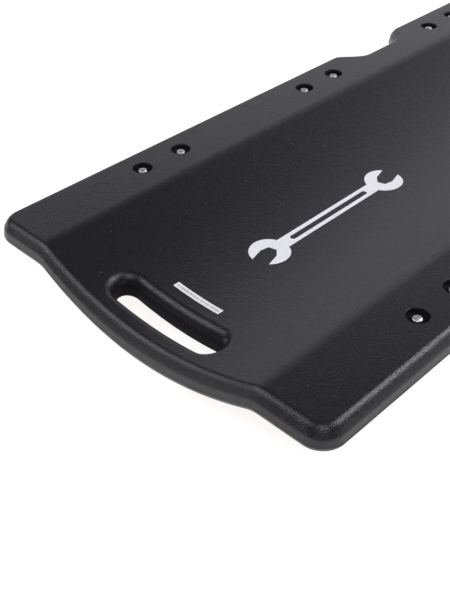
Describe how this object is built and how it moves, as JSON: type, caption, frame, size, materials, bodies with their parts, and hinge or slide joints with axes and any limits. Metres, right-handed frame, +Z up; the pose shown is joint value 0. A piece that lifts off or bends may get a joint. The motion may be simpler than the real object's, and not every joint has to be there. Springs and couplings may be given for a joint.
{
  "type": "mechanics creeper",
  "caption": "Low hollow plastic creeper: dished deck with flat side flanges, foot-end handle slot, tool trays, padded headrest and swivel casters.",
  "frame": {"origin": "on the floor under the middle of the deck", "axes": "+X to the right of someone standing at the foot end, +Y towards the headrest, +Z up"},
  "size_m": [0.48, 1.016, 0.1076],
  "materials": {
    "deck_plastic": "black blow-moulded polyethylene, satin with a fine moulded grain",
    "cushion_vinyl": "black grained vinyl over foam",
    "board_plastic": "plain black backing board",
    "label_paper": "white printed film",
    "zinc_steel": "bright zinc plate",
    "bearing_steel": "plain turned steel",
    "wheel_plastic": "hard black polyolefin"
  },
  "bodies": {
    "deck": {"deck_shell": "deck_plastic", "label_sticker": "label_paper", "headrest_cushion": "cushion_vinyl", "headrest_board": "board_plastic", "headrest_screw_1": "zinc_steel", "headrest_screw_2": "zinc_steel", "headrest_screw_3": "zinc_steel", "headrest_screw_4": "zinc_steel", "deck_screw_foot_right_rear": "zinc_steel", "deck_screw_foot_right_front": "zinc_steel", "deck_screw_foot_left_rear": "zinc_steel", "deck_screw_foot_left_front": "zinc_steel", "deck_screw_mid_right_rear": "zinc_steel", "deck_screw_mid_right_front": "zinc_steel", "deck_screw_mid_left_rear": "zinc_steel", "deck_screw_mid_left_front": "zinc_steel", "deck_screw_head_right_rear": "zinc_steel", "deck_screw_head_right_front": "zinc_steel", "deck_screw_head_left_rear": "zinc_steel", "deck_screw_head_left_front": "zinc_steel", "foot_right_plate": "zinc_steel", "foot_right_ball_race": "bearing_steel", "foot_right_king_pin": "bearing_steel", "foot_left_plate": "zinc_steel", "foot_left_ball_race": "bearing_steel", "foot_left_king_pin": "bearing_steel", "mid_right_plate": "zinc_steel", "mid_right_ball_race": "bearing_steel", "mid_right_king_pin": "bearing_steel", "mid_left_plate": "zinc_steel", "mid_left_ball_race": "bearing_steel", "mid_left_king_pin": "bearing_steel", "head_right_plate": "zinc_steel", "head_right_ball_race": "bearing_steel", "head_right_king_pin": "bearing_steel", "head_left_plate": "zinc_steel", "head_left_ball_race": "bearing_steel", "head_left_king_pin": "bearing_steel"},
    "foot_right_fork": {"foot_right_fork": "zinc_steel", "foot_right_axle": "bearing_steel"},
    "foot_right_wheel": {"foot_right_wheel": "wheel_plastic"},
    "foot_left_fork": {"foot_left_fork": "zinc_steel", "foot_left_axle": "bearing_steel"},
    "foot_left_wheel": {"foot_left_wheel": "wheel_plastic"},
    "mid_right_fork": {"mid_right_fork": "zinc_steel", "mid_right_axle": "bearing_steel"},
    "mid_right_wheel": {"mid_right_wheel": "wheel_plastic"},
    "mid_left_fork": {"mid_left_fork": "zinc_steel", "mid_left_axle": "bearing_steel"},
    "mid_left_wheel": {"mid_left_wheel": "wheel_plastic"},
    "head_right_fork": {"head_right_fork": "zinc_steel", "head_right_axle": "bearing_steel"},
    "head_right_wheel": {"head_right_wheel": "wheel_plastic"},
    "head_left_fork": {"head_left_fork": "zinc_steel", "head_left_axle": "bearing_steel"},
    "head_left_wheel": {"head_left_wheel": "wheel_plastic"}
  },
  "joints": [
    {"name": "foot_right_swivel", "type": "hinge", "parent": "deck", "child": "foot_right_fork", "pos_m": [0.198, -0.285, 0.058], "axis": [0, 0, 1], "continuous": true},
    {"name": "foot_right_roll", "type": "hinge", "parent": "foot_right_fork", "child": "foot_right_wheel", "pos_m": [0.198, -0.305, 0.0254], "axis": [1, 0, 0], "continuous": true},
    {"name": "foot_left_swivel", "type": "hinge", "parent": "deck", "child": "foot_left_fork", "pos_m": [-0.198, -0.285, 0.058], "axis": [0, 0, 1], "continuous": true},
    {"name": "foot_left_roll", "type": "hinge", "parent": "foot_left_fork", "child": "foot_left_wheel", "pos_m": [-0.20044, -0.30485, 0.0254], "axis": [0.9925, -0.1219, 0], "continuous": true},
    {"name": "mid_right_swivel", "type": "hinge", "parent": "deck", "child": "mid_right_fork", "pos_m": [0.198, 0.01, 0.058], "axis": [0, 0, 1], "continuous": true},
    {"name": "mid_right_roll", "type": "hinge", "parent": "mid_right_fork", "child": "mid_right_wheel", "pos_m": [0.20009, -0.00989, 0.0254], "axis": [0.9945, 0.1045, 0], "continuous": true},
    {"name": "mid_left_swivel", "type": "hinge", "parent": "deck", "child": "mid_left_fork", "pos_m": [-0.198, 0.01, 0.058], "axis": [0, 0, 1], "continuous": true},
    {"name": "mid_left_roll", "type": "hinge", "parent": "mid_left_fork", "child": "mid_left_wheel", "pos_m": [-0.20182, -0.00963, 0.0254], "axis": [0.9816, -0.1908, 0], "continuous": true},
    {"name": "head_right_swivel", "type": "hinge", "parent": "deck", "child": "head_right_fork", "pos_m": [0.198, 0.3045, 0.058], "axis": [0, 0, 1], "continuous": true},
    {"name": "head_right_roll", "type": "hinge", "parent": "head_right_fork", "child": "head_right_wheel", "pos_m": [0.20216, 0.28494, 0.0254], "axis": [0.9781, 0.2079, 0], "continuous": true},
    {"name": "head_left_swivel", "type": "hinge", "parent": "deck", "child": "head_left_fork", "pos_m": [-0.198, 0.3045, 0.058], "axis": [0, 0, 1], "continuous": true},
    {"name": "head_left_roll", "type": "hinge", "parent": "head_left_fork", "child": "head_left_wheel", "pos_m": [-0.19905, 0.28453, 0.0254], "axis": [0.9986, -0.0523, 0], "continuous": true}
  ]
}
